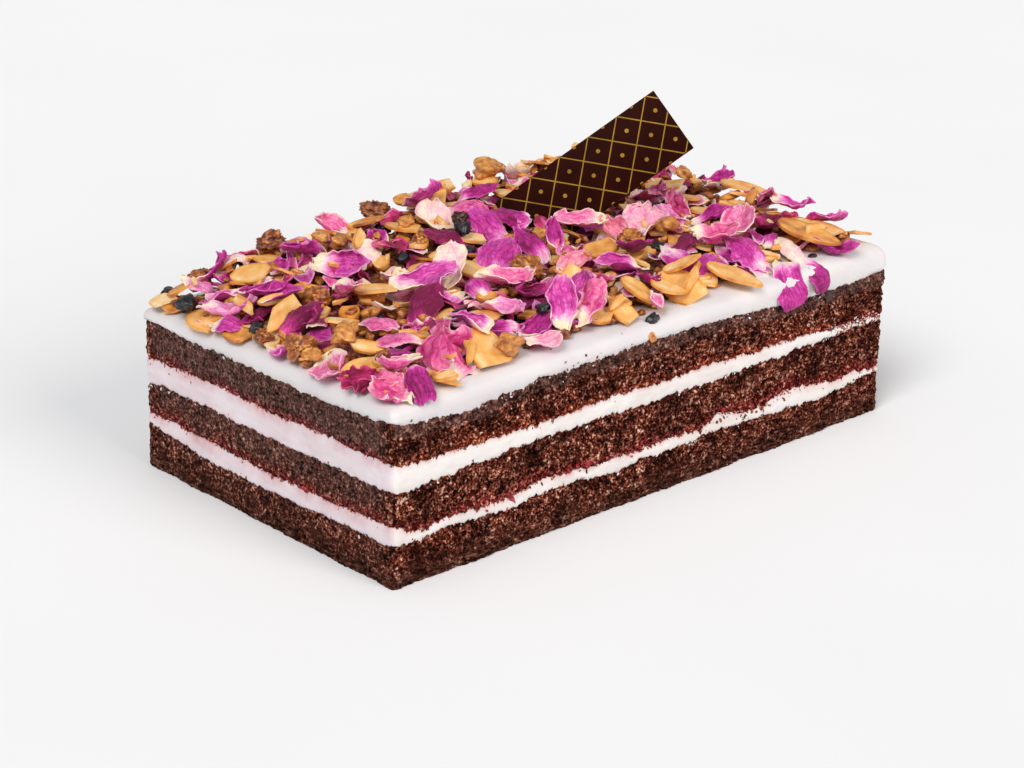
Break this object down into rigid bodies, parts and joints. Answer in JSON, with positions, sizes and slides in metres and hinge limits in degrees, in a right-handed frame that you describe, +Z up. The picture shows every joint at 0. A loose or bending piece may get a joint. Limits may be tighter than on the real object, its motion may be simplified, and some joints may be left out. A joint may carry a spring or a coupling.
{
  "type": "chocolate cake",
  "caption": "Rectangular layered chocolate cake with cream fillings, a cream top, a topping of dried petals, almond flakes and nut clusters, and a thin chocolate plaque.",
  "frame": {"origin": "middle of the base, on the surface the cake stands on", "axes": "+X along the long side, +Z up; the shown long side faces -Y and the shown short side faces -X"},
  "size_m": [0.2314, 0.1396, 0.1161],
  "materials": {
    "sponge": "dark brown chocolate sponge, open crumb, dull",
    "filling": "whipped cream filling, faintly pink, satin",
    "topping_cream": "white whipped cream, smooth and satin",
    "topping": "dried magenta and pink petals with golden almond flakes and brown nut clusters",
    "plaque_chocolate": null
  },
  "bodies": {
    "root": {"sponge_bottom": "sponge", "cream_lower": "filling", "sponge_middle": "sponge", "cream_upper": "filling", "sponge_top": "sponge", "cream_top": "topping_cream", "topping_heap": "topping", "chocolate_plaque": "plaque_chocolate"}
  },
  "joints": []
}
